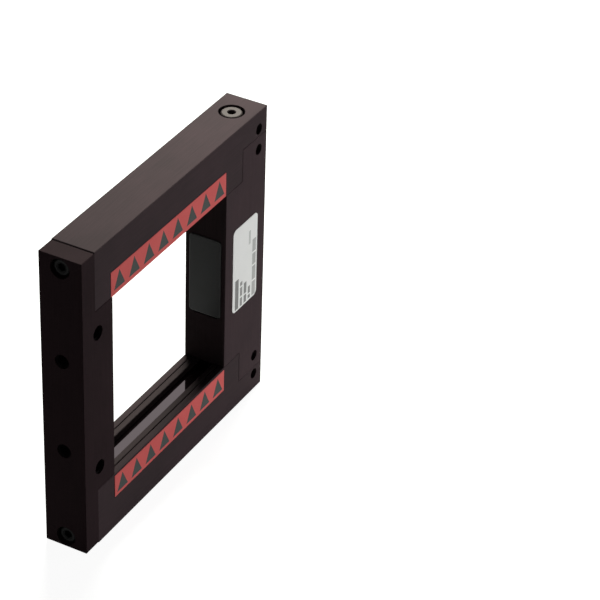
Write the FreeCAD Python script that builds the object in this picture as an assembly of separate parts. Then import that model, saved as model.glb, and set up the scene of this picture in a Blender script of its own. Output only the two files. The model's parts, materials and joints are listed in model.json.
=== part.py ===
import FreeCAD, Part
import math
import os
from FreeCAD import Vector

# Optical window sensor: a closed square frame with light emitters in the lower beam, receivers in the
# upper beam, a solid left column and a right column that holds the electronics.
# Millimetres. X runs along the length, Y from front to back, Z up; origin at the middle of the footprint.

# Frame
FRAME_LENGTH = 130.0
FRAME_HEIGHT = 130.0
FRAME_DEPTH = 18.0
WINDOW_SIZE = 80.0
LEFT_COLUMN_WIDTH = 20.0
EDGE_BREAK = 0.2
TOLERANCE = 1e-6

# Corner joints: plain notches on the left, lapped tongues on the right
LEFT_WALL = 8.5
LEFT_COLUMN_STEP = 0.4
TONGUE_LENGTH = 18.0
TONGUE_HEIGHT = 11.0

# Beam channel and the optics in it, heights measured from the beam's outer face
CHANNEL_WIDTH = 12.8
CHANNEL_FLOOR = 9.5
CARRIER_LEDGE = 12.0
CARRIER_LEDGE_WIDTH = 0.7
CARRIER_GAP = 0.35
SIDE_CLEARANCE = 0.05
SLOT_WIDTH = 7.3
SLOT_DEPTH = 2.75
SEAM_BREAK = 0.2
WINDOW_THICKNESS = 2.0
WINDOW_LIP = 1.1
CARRIER_OVERRUN_LEFT = 9.0
CARRIER_OVERRUN_RIGHT = 4.0
BEAM_COUNT = 8
BEAM_PITCH = 10.0
LIGHT_PORT = 3.2

# Diodes and boards
DIODE_SIZE = 2.6
EMITTER_HEIGHT = 1.8
EMITTER_LENS_SLOPE = 0.6
RECEIVER_HEIGHT = 1.2
RECEIVER_RIM = 0.5
RECEIVER_RECESS = 0.2
BOARD_THICKNESS = 1.6
BOARD_CLEARANCE = 0.1
OPTICS_BOARD_OVERRUN_LEFT = 3.0
OPTICS_BOARD_OVERRUN_RIGHT = 11.0

# Screws: M4 cylinder heads in the left end, M5 low heads in the lapped corners
END_SCREW_INSET = 5.2
END_HEAD_RADIUS = 3.5
END_HEAD_HEIGHT = 4.0
END_HEAD_DEPTH = 1.2
END_SHANK_RADIUS = 2.0
END_HEX = 3.0
END_COUNTERBORE_RADIUS = 4.1
CORNER_SCREW_INSET = 11.6
CORNER_HEAD_RADIUS = 4.25
CORNER_HEAD_HEIGHT = 3.5
CORNER_HEAD_DEPTH = 0.2
CORNER_SHANK_RADIUS = 2.5
CORNER_HEX = 3.0
CORNER_COUNTERBORE_RADIUS = 5.2
SHANK_LENGTH = 16.0
SCREW_HEX_DEPTH = 2.0
SCREW_CLEARANCE = 0.25
THREAD_CLEARANCE = 0.05
THREAD_RUNOUT = 2.0

# Mounting holes
MOUNT_THREAD_RADIUS = 3.0
END_MOUNT_SPACING = 40.0
END_MOUNT_DEPTH = 14.0
DRILL_POINT_DEGREES = 118.0
FRONT_MOUNT_SPACING = 60.0
FRONT_MOUNT_INSET = 10.0
CORNER_HOLE_RADIUS = 2.25
CORNER_HOLE_INSET = 6.0
CORNER_HOLE_HEIGHTS = (7.7, 16.7)

# Electronics pocket in the right column, opened from the window side
POCKET_WIDTH = 11.0
POCKET_HEIGHT = 32.0
POCKET_LEDGE_DEPTH = 6.0
POCKET_STEP = 0.9
POCKET_DEPTH = 18.0
POCKET_CORNER = 1.0
LEAD_WIDTH = 3.2
LEAD_THICKNESS = 0.6
LEAD_BORE_RADIUS = 2.2
LEAD_INSET = 8.0
HEADER_SIZE = 4.0
HEADER_WIDTH = 5.0
HEADER_END_GAP = 0.6
CHIP_SIZE = 7.0
CHIP_THICKNESS = 1.2

# Service cover and its gasket
COVER_WIDTH = 14.2
COVER_HEIGHT = 35.6
COVER_CORNER = 2.0
COVER_PROUD = 0.5
COVER_RIM = 0.4
COVER_SPIGOT_DEPTH = 2.4
COVER_WALL = 1.0
COVER_FLANGE = 1.2
GASKET_THICKNESS = 0.8
SEAT_GAP = 0.15

# Flush plug connection in the right end face, an M8 sleeve standing in a round recess
RECESS_RADIUS = 6.25
RECESS_DEPTH = 9.0
SLEEVE_RADIUS = 4.0
SLEEVE_BORE = 3.25
SLEEVE_NECK_RADIUS = 4.45
SLEEVE_FLANGE_RADIUS = 6.15
SLEEVE_FLANGE = 1.0
SLEEVE_SET_BACK = 0.3
SEAL_THICKNESS = 0.8
SEAL_CLEARANCE = 0.1
INSERT_RADIUS = 3.2
INSERT_REACH = 5.6
INSERT_COLLAR_RADIUS = 4.1
INSERT_COLLAR = 1.4
KEYWAY_WIDTH = 0.8
PIN_RADIUS = 0.5
PIN_CIRCLE_RADIUS = 1.75
PIN_COUNT = 3
PIN_SET_BACK = 2.0
PIN_CLEARANCE = 0.02

# Printed foils
FOIL_THICKNESS = 0.15
STRIP_HEIGHT = 10.3
TOP_STRIP_GAP = 0.4
BOTTOM_STRIP_GAP = 0.9
TOP_STRIP_SHIFT = -0.7
ARROW_WIDTH = 6.4
ARROW_HEIGHT = 6.6
LABEL_WIDTH = 18.2
LABEL_HEIGHT = 37.7
LABEL_CORNER = 2.2
LABEL_LEFT_GAP = 6.1
LABEL_BOTTOM = 47.3

# Places worked out from the sizes above
HALF_DEPTH = FRAME_DEPTH / 2
LEFT_END = -FRAME_LENGTH / 2
RIGHT_END = FRAME_LENGTH / 2
WINDOW_LEFT = LEFT_END + LEFT_COLUMN_WIDTH
WINDOW_RIGHT = WINDOW_LEFT + WINDOW_SIZE
BEAM_HEIGHT = (FRAME_HEIGHT - WINDOW_SIZE) / 2
WINDOW_BOTTOM = BEAM_HEIGHT
WINDOW_TOP = FRAME_HEIGHT - BEAM_HEIGHT
MIDDLE = FRAME_HEIGHT / 2
NOTCH = LEFT_END + LEFT_WALL
TONGUE_START = RIGHT_END - TONGUE_LENGTH
TONGUE_TOP = FRAME_HEIGHT - TONGUE_HEIGHT
WINDOW_FACE = BEAM_HEIGHT - SLOT_DEPTH
WINDOW_BACK = WINDOW_FACE - WINDOW_THICKNESS
FIRST_BEAM = WINDOW_LEFT + (WINDOW_SIZE - (BEAM_COUNT - 1) * BEAM_PITCH) / 2
BEAM_PLACES = [FIRST_BEAM + i * BEAM_PITCH for i in range(BEAM_COUNT)]
END_SEAT = LEFT_END + END_HEAD_DEPTH + END_HEAD_HEIGHT
CORNER_SCREW = RIGHT_END - CORNER_SCREW_INSET
CORNER_SEAT = CORNER_HEAD_DEPTH + CORNER_HEAD_HEIGHT
CORNER_HOLE = RIGHT_END - CORNER_HOLE_INSET
FRONT_MOUNT = LEFT_END + FRONT_MOUNT_INSET
BOARD_SEAT = WINDOW_RIGHT + POCKET_LEDGE_DEPTH
POCKET_END = WINDOW_RIGHT + POCKET_DEPTH
RECESS_FLOOR = RIGHT_END - RECESS_DEPTH
LEAD = WINDOW_RIGHT + LEAD_INSET
COVER_SEAT_DEPTH = COVER_FLANGE + GASKET_THICKNESS - COVER_PROUD

ALONG_X = Vector(1, 0, 0)
ALONG_Y = Vector(0, 1, 0)
ALONG_Z = Vector(0, 0, 1)


# Shared shapes

def block(x_range, y_range, z_range):
    corner = Vector(x_range[0], y_range[0], z_range[0])
    size = [limits[1] - limits[0] for limits in (x_range, y_range, z_range)]
    return Part.makeBox(*size, corner)


def depth_prism(outline, half_depth):
    """Outline of (x, z) points carried through the depth of the frame."""
    corners = [Vector(x, -half_depth, z) for x, z in outline]
    return Part.Face(Part.makePolygon(corners + corners[:1])).extrude(ALONG_Y * (2 * half_depth))


def length_prism(outline, start, end):
    """Outline of (y, z) points carried along the length of the frame."""
    corners = [Vector(start, y, z) for y, z in outline]
    return Part.Face(Part.makePolygon(corners + corners[:1])).extrude(ALONG_X * (end - start))


def mirrored_outline(right_half):
    """Closed outline from its right half, mirrored about the middle plane."""
    return right_half + [(-y, z) for y, z in reversed(right_half)]


def to_top(shape):
    """The piece of the upper beam that matches one of the lower beam."""
    return shape.mirror(Vector(0, 0, MIDDLE), ALONG_Z)


def edges_along(shape, axis):
    lines = [edge for edge in shape.Edges if isinstance(edge.Curve, Part.Line)]
    return [edge for edge in lines if abs(edge.Curve.Direction.dot(axis)) > 1 - TOLERANCE]


def rounded_block(x_range, y_range, z_range, axis, radius):
    solid = block(x_range, y_range, z_range)
    return solid.makeFillet(radius, edges_along(solid, axis))


def centred(size, middle=0.0):
    return (middle - size / 2, middle + size / 2)


def turned(profile, start, axis):
    """Solid of revolution from (distance along the axis, radius) points."""
    side = ALONG_Y if abs(axis.y) < TOLERANCE else ALONG_X
    corners = [start + axis * along + side * radius for along, radius in profile]
    return Part.Face(Part.makePolygon(corners + corners[:1])).revolve(start, axis, 360)


def drilled(start, axis, radius, depth):
    """Blind hole with the cone that a drill leaves."""
    tip = radius / math.tan(math.radians(DRILL_POINT_DEGREES / 2))
    return turned([(0, 0), (0, radius), (depth, radius), (depth + tip, 0)], start, axis)


def through_hole(x, z, radius):
    return Part.makeCylinder(radius, FRAME_DEPTH, Vector(x, -HALF_DEPTH, z), ALONG_Y)


def broken_edges(solid, sharp_places):
    """Breaks the edges of a milled piece, apart from those with their middle at a sharp (x, z) place."""
    def is_broken(edge):
        middle = edge.CenterOfMass
        return all(abs(middle.x - x) + abs(middle.z - z) > TOLERANCE for x, z in sharp_places)
    return solid.makeChamfer(EDGE_BREAK, [edge for edge in solid.Edges if is_broken(edge)])


def socket_screw(start, axis, head_radius, head_height, shank_radius, hexagon):
    """Screw with a hexagon socket, from the top of its head inwards."""
    tip = head_height + SHANK_LENGTH
    profile = [
        (0, 0),
        (0, head_radius),
        (head_height, head_radius),
        (head_height, shank_radius),
        (tip, shank_radius),
        (tip, 0),
    ]
    side = ALONG_Y
    up = axis.cross(side)
    corner_radius = hexagon / 2 / math.cos(math.radians(30))
    angles = [math.radians(60 * i) for i in range(6)]
    corners = [start + (side * math.cos(a) + up * math.sin(a)) * corner_radius for a in angles]
    socket = Part.Face(Part.makePolygon(corners + corners[:1])).extrude(axis * SCREW_HEX_DEPTH)
    return turned(profile, start, axis).cut(socket)


# Columns

def left_column():
    bottom = LEFT_COLUMN_STEP
    top = FRAME_HEIGHT - LEFT_COLUMN_STEP
    outline = [
        (LEFT_END, bottom),
        (NOTCH, bottom),
        (NOTCH, WINDOW_BOTTOM),
        (WINDOW_LEFT, WINDOW_BOTTOM),
        (WINDOW_LEFT, WINDOW_TOP),
        (NOTCH, WINDOW_TOP),
        (NOTCH, top),
        (LEFT_END, top),
    ]
    hollow_corners = [(NOTCH, WINDOW_BOTTOM), (NOTCH, WINDOW_TOP)]
    joint_edges = [(NOTCH, (bottom + WINDOW_BOTTOM) / 2), (NOTCH, (WINDOW_TOP + top) / 2)]
    column = broken_edges(depth_prism(outline, HALF_DEPTH), hollow_corners + joint_edges)
    cuts = []
    for z in (END_SCREW_INSET, FRAME_HEIGHT - END_SCREW_INSET):
        start = Vector(LEFT_END, 0, z)
        cuts.append(Part.makeCylinder(END_COUNTERBORE_RADIUS, END_SEAT - LEFT_END, start, ALONG_X))
        cuts.append(Part.makeCylinder(END_SHANK_RADIUS + SCREW_CLEARANCE, LEFT_WALL, start, ALONG_X))
    for z in centred(END_MOUNT_SPACING, MIDDLE):
        cuts.append(drilled(Vector(LEFT_END, 0, z), ALONG_X, MOUNT_THREAD_RADIUS, END_MOUNT_DEPTH))
    for z in centred(FRONT_MOUNT_SPACING, MIDDLE):
        cuts.append(through_hole(FRONT_MOUNT, z, MOUNT_THREAD_RADIUS))
    return column.cut(cuts)


def electronics_pocket():
    """Room behind the service cover: seat of the cover, board space and lead bores."""
    seat_width = COVER_WIDTH + 2 * SEAT_GAP
    seat_height = COVER_HEIGHT + 2 * SEAT_GAP
    seat = rounded_block(
        (WINDOW_RIGHT, WINDOW_RIGHT + COVER_SEAT_DEPTH),
        centred(seat_width),
        centred(seat_height, MIDDLE),
        ALONG_X,
        COVER_CORNER,
    )
    board_room = rounded_block(
        (WINDOW_RIGHT, BOARD_SEAT),
        centred(POCKET_WIDTH),
        centred(POCKET_HEIGHT, MIDDLE),
        ALONG_X,
        POCKET_CORNER,
    )
    back_room = block(
        (BOARD_SEAT, POCKET_END),
        centred(POCKET_WIDTH - 2 * POCKET_STEP),
        centred(POCKET_HEIGHT - 2 * POCKET_STEP, MIDDLE),
    )
    lead_bore = Part.makeCylinder(LEAD_BORE_RADIUS, WINDOW_SIZE, Vector(LEAD, 0, WINDOW_BOTTOM), ALONG_Z)
    return [seat, board_room, back_room, lead_bore]


def right_column():
    outline = [
        (WINDOW_RIGHT, WINDOW_BOTTOM),
        (TONGUE_START, WINDOW_BOTTOM),
        (TONGUE_START, TONGUE_HEIGHT),
        (RIGHT_END, TONGUE_HEIGHT),
        (RIGHT_END, TONGUE_TOP),
        (TONGUE_START, TONGUE_TOP),
        (TONGUE_START, WINDOW_TOP),
        (WINDOW_RIGHT, WINDOW_TOP),
    ]
    hollow_corners = [(TONGUE_START, WINDOW_BOTTOM), (TONGUE_START, WINDOW_TOP)]
    column = broken_edges(depth_prism(outline, HALF_DEPTH), hollow_corners)
    cuts = electronics_pocket()
    thread_depth = CORNER_SEAT + SHANK_LENGTH + THREAD_RUNOUT - TONGUE_HEIGHT
    thread_radius = CORNER_SHANK_RADIUS + THREAD_CLEARANCE
    thread_start = Vector(CORNER_SCREW, 0, TONGUE_HEIGHT)
    thread = Part.makeCylinder(thread_radius, thread_depth, thread_start, ALONG_Z)
    cuts += [thread, to_top(thread)]
    inner_hole = through_hole(CORNER_HOLE, CORNER_HOLE_HEIGHTS[1], CORNER_HOLE_RADIUS)
    cuts += [inner_hole, to_top(inner_hole)]
    plug_axis = Vector(RECESS_FLOOR, 0, MIDDLE)
    cuts.append(Part.makeCylinder(RECESS_RADIUS, RECESS_DEPTH, plug_axis, ALONG_X))
    neck_bore = SLEEVE_NECK_RADIUS + SIDE_CLEARANCE
    neck_start = Vector(POCKET_END, 0, MIDDLE)
    cuts.append(Part.makeCylinder(neck_bore, RECESS_FLOOR - POCKET_END, neck_start, ALONG_X))
    return column.cut(cuts)


# Beams and the optics that they carry, drawn for the lower beam

def beam():
    outline = [
        (NOTCH, 0),
        (RIGHT_END, 0),
        (RIGHT_END, TONGUE_HEIGHT),
        (TONGUE_START, TONGUE_HEIGHT),
        (TONGUE_START, BEAM_HEIGHT),
        (NOTCH, BEAM_HEIGHT),
    ]
    hollow_corner = (TONGUE_START, TONGUE_HEIGHT)
    joint_edge = (NOTCH, BEAM_HEIGHT / 2)
    bar = broken_edges(depth_prism(outline, HALF_DEPTH), [hollow_corner, joint_edge])
    wall = CHANNEL_WIDTH / 2
    ledge = wall - CARRIER_LEDGE_WIDTH
    channel = mirrored_outline([
        (ledge, CHANNEL_FLOOR),
        (ledge, CARRIER_LEDGE),
        (wall, CARRIER_LEDGE),
        (wall, BEAM_HEIGHT - SEAM_BREAK),
        (wall + SEAM_BREAK, BEAM_HEIGHT),
    ])
    corner_start = Vector(CORNER_SCREW, 0, 0)
    thread_start = Vector(NOTCH, 0, END_SCREW_INSET)
    thread_depth = END_SEAT + SHANK_LENGTH + THREAD_RUNOUT - NOTCH
    cuts = [
        length_prism(channel, NOTCH, TONGUE_START),
        Part.makeCylinder(END_SHANK_RADIUS + THREAD_CLEARANCE, thread_depth, thread_start, ALONG_X),
        Part.makeCylinder(CORNER_COUNTERBORE_RADIUS, CORNER_SEAT, corner_start, ALONG_Z),
        Part.makeCylinder(CORNER_SHANK_RADIUS + SCREW_CLEARANCE, TONGUE_HEIGHT, corner_start, ALONG_Z),
        through_hole(CORNER_HOLE, CORNER_HOLE_HEIGHTS[0], CORNER_HOLE_RADIUS),
    ]
    return bar.cut(cuts)


def optics_carrier():
    """Slotted profile with the window groove and one square light port for each diode."""
    side = CHANNEL_WIDTH / 2 - CARRIER_GAP
    slot = SLOT_WIDTH / 2
    profile = mirrored_outline([
        (side, CARRIER_LEDGE),
        (side, BEAM_HEIGHT - SEAM_BREAK),
        (side - SEAM_BREAK, BEAM_HEIGHT),
        (slot + SEAM_BREAK, BEAM_HEIGHT),
        (slot, BEAM_HEIGHT - SEAM_BREAK),
        (slot, WINDOW_FACE),
        (slot + WINDOW_LIP, WINDOW_FACE),
        (slot + WINDOW_LIP, WINDOW_BACK),
    ])
    carrier = length_prism(profile, WINDOW_LEFT - CARRIER_OVERRUN_LEFT, WINDOW_RIGHT + CARRIER_OVERRUN_RIGHT)
    ports = [
        block(centred(LIGHT_PORT, x), centred(LIGHT_PORT), (CARRIER_LEDGE, WINDOW_BACK))
        for x in BEAM_PLACES
    ]
    return carrier.cut(ports)


def light_window():
    return block(
        (WINDOW_LEFT - CARRIER_OVERRUN_LEFT, WINDOW_RIGHT + CARRIER_OVERRUN_RIGHT),
        centred(SLOT_WIDTH + 2 * (WINDOW_LIP - SIDE_CLEARANCE)),
        (WINDOW_BACK, WINDOW_FACE),
    )


def optics_board():
    return block(
        (WINDOW_LEFT - OPTICS_BOARD_OVERRUN_LEFT, WINDOW_RIGHT + OPTICS_BOARD_OVERRUN_RIGHT),
        centred(CHANNEL_WIDTH - 2 * (CARRIER_LEDGE_WIDTH + BOARD_CLEARANCE)),
        (CARRIER_LEDGE - BOARD_THICKNESS, CARRIER_LEDGE),
    )


def emitter(x):
    """Light-emitting chip with a sloped lens."""
    top = CARRIER_LEDGE + EMITTER_HEIGHT
    body = block(centred(DIODE_SIZE, x), centred(DIODE_SIZE), (CARRIER_LEDGE, top))
    rim = [edge for edge in body.Edges if edge.CenterOfMass.z > top - TOLERANCE]
    return body.makeChamfer(EMITTER_LENS_SLOPE, rim)


def receiver(x):
    """Flat light-sensing chip with a recessed face."""
    top = CARRIER_LEDGE + RECEIVER_HEIGHT
    body = block(centred(DIODE_SIZE, x), centred(DIODE_SIZE), (CARRIER_LEDGE, top))
    face = centred(DIODE_SIZE - 2 * RECEIVER_RIM)
    recess = block(centred(DIODE_SIZE - 2 * RECEIVER_RIM, x), face, (top - RECEIVER_RECESS, top))
    return body.cut(recess)


# Electronics in the right column

def control_board():
    return block(
        (BOARD_SEAT - BOARD_THICKNESS, BOARD_SEAT),
        centred(POCKET_WIDTH - 2 * BOARD_CLEARANCE),
        centred(POCKET_HEIGHT - 2 * BOARD_CLEARANCE, MIDDLE),
    ).cut(board_corner_reliefs())


def board_corner_reliefs():
    """Corners taken off the board where the milled pocket is round."""
    width = POCKET_WIDTH / 2 - BOARD_CLEARANCE
    height = POCKET_HEIGHT / 2 - BOARD_CLEARANCE
    reliefs = []
    for y_side in (-1, 1):
        for z_side in (-1, 1):
            corner = (y_side * width, MIDDLE + z_side * height)
            triangle = [
                corner,
                (corner[0] - y_side * POCKET_CORNER, corner[1]),
                (corner[0], corner[1] - z_side * POCKET_CORNER),
            ]
            reliefs.append(length_prism(triangle, BOARD_SEAT - BOARD_THICKNESS, BOARD_SEAT))
    return reliefs


def controller_chip():
    face = BOARD_SEAT - BOARD_THICKNESS
    body = block((face - CHIP_THICKNESS, face), centred(CHIP_SIZE), centred(CHIP_SIZE, MIDDLE))
    outer = [edge for edge in body.Edges if edge.CenterOfMass.x < face - CHIP_THICKNESS + TOLERANCE]
    return body.makeChamfer(EDGE_BREAK, outer)


def lower_headers():
    """The two lead sockets of the lower lead, on the control board and on the lower beam's board."""
    x_range = centred(HEADER_SIZE, LEAD)
    y_range = centred(HEADER_WIDTH)
    control_bottom = MIDDLE - POCKET_HEIGHT / 2 + POCKET_STEP + HEADER_END_GAP
    control_header = block(x_range, y_range, (control_bottom, control_bottom + HEADER_SIZE))
    beam_header = block(x_range, y_range, (CARRIER_LEDGE, CARRIER_LEDGE + HEADER_SIZE))
    return [control_header, beam_header]


def lower_lead():
    """Flat ribbon lead between the two sockets."""
    control_header, beam_header = lower_headers()
    z_range = (beam_header.BoundBox.ZMax, control_header.BoundBox.ZMin)
    return block(centred(LEAD_THICKNESS, LEAD), centred(LEAD_WIDTH), z_range)


def service_cover():
    """Moulded cover: a flange with a broken rim and a hollow spigot that grips the pocket."""
    outer_face = WINDOW_RIGHT - COVER_PROUD
    inner_face = outer_face + COVER_FLANGE
    flange = rounded_block(
        (outer_face, inner_face),
        centred(COVER_WIDTH),
        centred(COVER_HEIGHT, MIDDLE),
        ALONG_X,
        COVER_CORNER,
    )
    rim = [edge for edge in flange.Edges if abs(edge.BoundBox.XMax - outer_face) < TOLERANCE]
    flange = flange.makeChamfer(COVER_RIM, rim)
    spigot_end = inner_face + COVER_SPIGOT_DEPTH
    width = POCKET_WIDTH - 2 * SEAT_GAP
    height = POCKET_HEIGHT - 2 * SEAT_GAP
    spigot = block((inner_face, spigot_end), centred(width), centred(height, MIDDLE))
    spigot = spigot.makeChamfer(POCKET_CORNER, edges_along(spigot, ALONG_X))
    hollow = block(
        (inner_face, spigot_end),
        centred(width - 2 * COVER_WALL),
        centred(height - 2 * COVER_WALL, MIDDLE),
    )
    return flange.fuse(spigot.cut(hollow)).removeSplitter()


def cover_gasket():
    seat_floor = WINDOW_RIGHT + COVER_SEAT_DEPTH
    x_range = (seat_floor - GASKET_THICKNESS, seat_floor)
    z_range = centred(COVER_HEIGHT, MIDDLE)
    outer = rounded_block(x_range, centred(COVER_WIDTH), z_range, ALONG_X, COVER_CORNER)
    opening = block(x_range, centred(POCKET_WIDTH), centred(POCKET_HEIGHT, MIDDLE))
    return outer.cut(opening)


# Plug connection

def connector_sleeve():
    flange_start = RECESS_FLOOR + SEAL_THICKNESS - POCKET_END
    flange_end = flange_start + SLEEVE_FLANGE
    mouth = RIGHT_END - SLEEVE_SET_BACK - POCKET_END
    profile = [
        (0, SLEEVE_BORE),
        (0, SLEEVE_NECK_RADIUS),
        (flange_start, SLEEVE_NECK_RADIUS),
        (flange_start, SLEEVE_FLANGE_RADIUS),
        (flange_end, SLEEVE_FLANGE_RADIUS),
        (flange_end, SLEEVE_RADIUS),
        (mouth, SLEEVE_RADIUS),
        (mouth, SLEEVE_BORE),
    ]
    return turned(profile, Vector(POCKET_END, 0, MIDDLE), ALONG_X)


def connector_seal():
    inner = SLEEVE_NECK_RADIUS + SEAL_CLEARANCE
    outer = SLEEVE_FLANGE_RADIUS - SEAL_CLEARANCE
    profile = [(0, inner), (0, outer), (SEAL_THICKNESS, outer), (SEAL_THICKNESS, inner)]
    return turned(profile, Vector(RECESS_FLOOR, 0, MIDDLE), ALONG_X)


def pin_places():
    step = 2 * math.pi / PIN_COUNT
    angles = [step * (i + 0.5) for i in range(PIN_COUNT)]
    return [
        (PIN_CIRCLE_RADIUS * math.cos(angle), MIDDLE + PIN_CIRCLE_RADIUS * math.sin(angle))
        for angle in angles
    ]


def connector_insert():
    profile = [
        (-INSERT_COLLAR, 0),
        (-INSERT_COLLAR, INSERT_COLLAR_RADIUS),
        (0, INSERT_COLLAR_RADIUS),
        (0, INSERT_RADIUS),
        (INSERT_REACH, INSERT_RADIUS),
        (INSERT_REACH, 0),
    ]
    body = turned(profile, Vector(POCKET_END, 0, MIDDLE), ALONG_X)
    back = POCKET_END - INSERT_COLLAR
    length = INSERT_COLLAR + INSERT_REACH
    cuts = [
        Part.makeCylinder(PIN_RADIUS + PIN_CLEARANCE, length, Vector(back, y, z), ALONG_X)
        for y, z in pin_places()
    ]
    keyway_floor = MIDDLE + INSERT_RADIUS - KEYWAY_WIDTH
    cuts.append(block(
        (POCKET_END + KEYWAY_WIDTH, POCKET_END + INSERT_REACH),
        centred(KEYWAY_WIDTH),
        (keyway_floor, keyway_floor + 2 * KEYWAY_WIDTH),
    ))
    return body.cut(cuts)


def connector_pins():
    length = RIGHT_END - PIN_SET_BACK - BOARD_SEAT
    return [
        Part.makeCylinder(PIN_RADIUS, length, Vector(BOARD_SEAT, y, z), ALONG_X)
        for y, z in pin_places()
    ]


# Screws

def end_screw():
    start = Vector(LEFT_END + END_HEAD_DEPTH, 0, END_SCREW_INSET)
    return socket_screw(
        start, ALONG_X, END_HEAD_RADIUS, END_HEAD_HEIGHT, END_SHANK_RADIUS, END_HEX,
    )


def corner_screw():
    start = Vector(CORNER_SCREW, 0, CORNER_HEAD_DEPTH)
    return socket_screw(
        start, ALONG_Z, CORNER_HEAD_RADIUS, CORNER_HEAD_HEIGHT, CORNER_SHANK_RADIUS, CORNER_HEX,
    )


# Foils on the front face

STRIP_CORNERS = {
    "top": (WINDOW_LEFT + TOP_STRIP_SHIFT, WINDOW_TOP + TOP_STRIP_GAP),
    "bottom": (WINDOW_LEFT, WINDOW_BOTTOM - BOTTOM_STRIP_GAP - STRIP_HEIGHT),
}


def arrow(x, strip_bottom):
    """Upright triangle in the middle of the strip's height."""
    base = strip_bottom + (STRIP_HEIGHT - ARROW_HEIGHT) / 2
    corners = [(x - ARROW_WIDTH / 2, base), (x + ARROW_WIDTH / 2, base), (x, base + ARROW_HEIGHT)]
    front = -HALF_DEPTH - FOIL_THICKNESS
    points = [Vector(px, front, pz) for px, pz in corners]
    return Part.Face(Part.makePolygon(points + points[:1])).extrude(ALONG_Y * FOIL_THICKNESS)


def arrows(strip_left, strip_bottom):
    shift = strip_left - WINDOW_LEFT
    return [arrow(x + shift, strip_bottom) for x in BEAM_PLACES]


def arrow_strip(strip_left, strip_bottom):
    """Red foil with openings that the dark triangles fill."""
    foil = block(
        (strip_left, strip_left + WINDOW_SIZE),
        (-HALF_DEPTH - FOIL_THICKNESS, -HALF_DEPTH),
        (strip_bottom, strip_bottom + STRIP_HEIGHT),
    )
    return foil.cut(arrows(strip_left, strip_bottom))


def rating_label():
    left = WINDOW_RIGHT + LABEL_LEFT_GAP
    return rounded_block(
        (left, left + LABEL_WIDTH),
        (-HALF_DEPTH - FOIL_THICKNESS, -HALF_DEPTH),
        (LABEL_BOTTOM, LABEL_BOTTOM + LABEL_HEIGHT),
        ALONG_Y,
        LABEL_CORNER,
    )


def group(solids):
    return Part.makeCompound(solids)


def pieces():
    lower_beam = beam()
    carrier = optics_carrier()
    window = light_window()
    board = optics_board()
    headers = lower_headers()
    lead = lower_lead()
    end = end_screw()
    corner = corner_screw()
    marks = [mark for place in STRIP_CORNERS.values() for mark in arrows(*place)]
    return {
        "left_column": left_column(),
        "right_column": right_column(),
        "bottom_beam": lower_beam,
        "top_beam": to_top(lower_beam),
        "bottom_optics_carrier": carrier,
        "top_optics_carrier": to_top(carrier),
        "bottom_window": window,
        "top_window": to_top(window),
        "emitter_board": board,
        "receiver_board": to_top(board),
        "emitter_leds": group([emitter(x) for x in BEAM_PLACES]),
        "receiver_diodes": to_top(group([receiver(x) for x in BEAM_PLACES])),
        "control_board": control_board(),
        "controller_chip": controller_chip(),
        "lead_headers": group(headers + [to_top(header) for header in headers]),
        "emitter_lead": lead,
        "receiver_lead": to_top(lead),
        "service_cover": service_cover(),
        "cover_gasket": cover_gasket(),
        "connector_sleeve": connector_sleeve(),
        "connector_seal": connector_seal(),
        "connector_insert": connector_insert(),
        "connector_pins": group(connector_pins()),
        "end_screws": group([end, to_top(end)]),
        "corner_screws": group([corner, to_top(corner)]),
        "top_arrow_strip": arrow_strip(*STRIP_CORNERS["top"]),
        "bottom_arrow_strip": arrow_strip(*STRIP_CORNERS["bottom"]),
        "arrow_marks": group(marks),
        "rating_label": rating_label(),
    }


os.makedirs("parts", exist_ok=True)
for name, shape in pieces().items():
    shape.exportStep("parts/" + name + ".step")
    state = "valid" if shape.isValid() else "not valid"
    print(name, len(shape.Solids), "solids", round(shape.Volume, 1), "mm3", state)
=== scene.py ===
import bmesh
import bpy
import json
import math
from mathutils import Matrix, Quaternion, Vector


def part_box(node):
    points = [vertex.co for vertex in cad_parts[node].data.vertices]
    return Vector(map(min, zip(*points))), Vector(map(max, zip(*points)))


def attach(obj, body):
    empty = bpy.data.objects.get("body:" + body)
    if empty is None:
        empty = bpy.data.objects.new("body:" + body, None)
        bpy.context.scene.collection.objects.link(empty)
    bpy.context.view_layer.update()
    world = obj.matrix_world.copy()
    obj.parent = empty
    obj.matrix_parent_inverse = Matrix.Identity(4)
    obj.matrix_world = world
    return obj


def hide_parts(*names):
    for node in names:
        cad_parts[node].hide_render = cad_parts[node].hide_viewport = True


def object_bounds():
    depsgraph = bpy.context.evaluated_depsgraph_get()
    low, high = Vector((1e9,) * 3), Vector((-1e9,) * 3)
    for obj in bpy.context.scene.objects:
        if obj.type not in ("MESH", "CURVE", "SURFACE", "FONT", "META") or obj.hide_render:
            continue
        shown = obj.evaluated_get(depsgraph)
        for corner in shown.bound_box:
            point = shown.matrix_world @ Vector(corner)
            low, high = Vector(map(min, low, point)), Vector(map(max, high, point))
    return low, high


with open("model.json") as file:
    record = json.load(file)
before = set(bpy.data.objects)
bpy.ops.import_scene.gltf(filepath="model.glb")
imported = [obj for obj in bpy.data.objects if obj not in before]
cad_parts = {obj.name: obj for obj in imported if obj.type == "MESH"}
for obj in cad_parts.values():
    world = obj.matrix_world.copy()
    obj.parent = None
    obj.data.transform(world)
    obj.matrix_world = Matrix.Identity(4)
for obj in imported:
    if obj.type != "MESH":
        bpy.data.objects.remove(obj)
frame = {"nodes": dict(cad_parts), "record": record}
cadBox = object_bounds()
nodes = frame["nodes"]
mounts = {mount["name"]: mount for mount in frame["record"]["mounts"]}
mm = 0.001
print("frame loaded:", len(nodes), "nodes")


# Small helpers for nodes, materials and meshes

def hexColor(code):
    parts = [int(code[i:i + 2], 16) / 255 for i in (1, 3, 5)]
    linear = [p / 12.92 if p <= 0.04045 else ((p + 0.055) / 1.055) ** 2.4 for p in parts]
    return (*linear, 1.0)


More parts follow.
